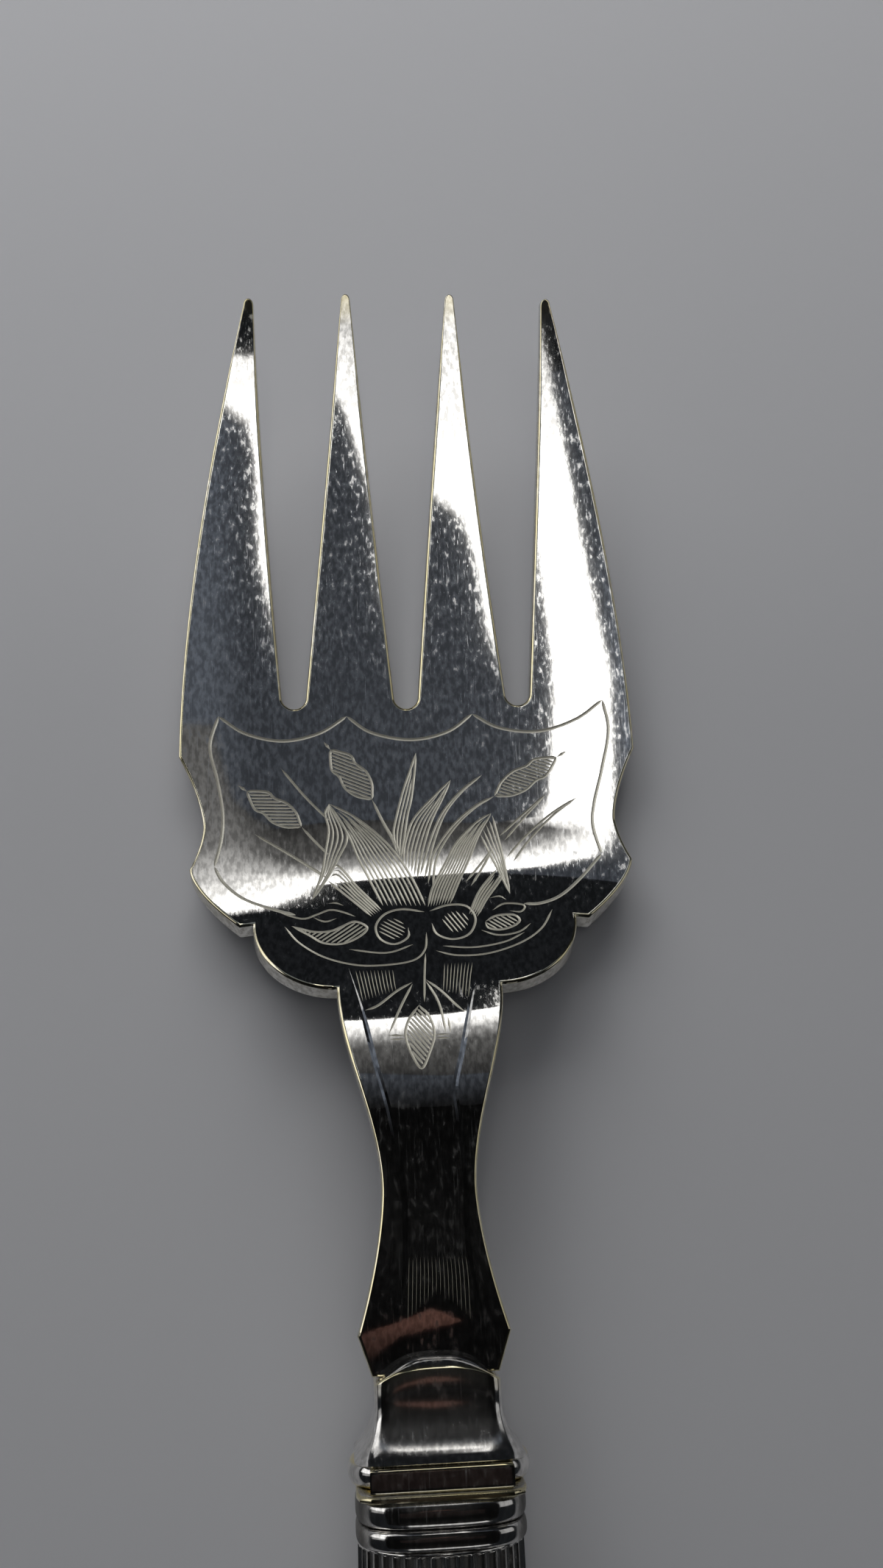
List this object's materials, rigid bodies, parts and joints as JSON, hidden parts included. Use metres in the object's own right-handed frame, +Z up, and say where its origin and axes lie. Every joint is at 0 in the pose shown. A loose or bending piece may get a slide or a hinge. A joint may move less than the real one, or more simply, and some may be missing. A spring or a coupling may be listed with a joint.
{
  "type": "serving fork",
  "caption": "Silver serving fork with a dished engraved tined head, waisted shank, moulded bolster and collar, and a fluted oval hollow handle.",
  "frame": {"origin": "on the table, under the middle of the fork's length and width, with the fork lying face up", "axes": "+Y from the handle to the tine tips, +X to the right seen from above, +Z up off the table"},
  "size_m": [0.0558, 0.2368, 0.0199],
  "materials": {
    "head_silver": "worn mirror polish, bright-cut engraving",
    "mount_silver": "worn polish, tarnish in the grooves",
    "handle_silver": "worn polish, tarnish in the flutes",
    "tang_steel": "forged, unpolished",
    "pitch_filler": "set pitch"
  },
  "bodies": {
    "root": {"fork_head": "head_silver", "tang": "tang_steel", "bolster": "mount_silver", "plinth_collar": "mount_silver", "neck_ring_upper": "mount_silver", "neck_ring_lower": "mount_silver", "handle_front_shell": "handle_silver", "handle_back_shell": "handle_silver", "handle_filler": "pitch_filler", "butt_ring": "mount_silver", "butt_cap": "mount_silver"}
  },
  "joints": []
}
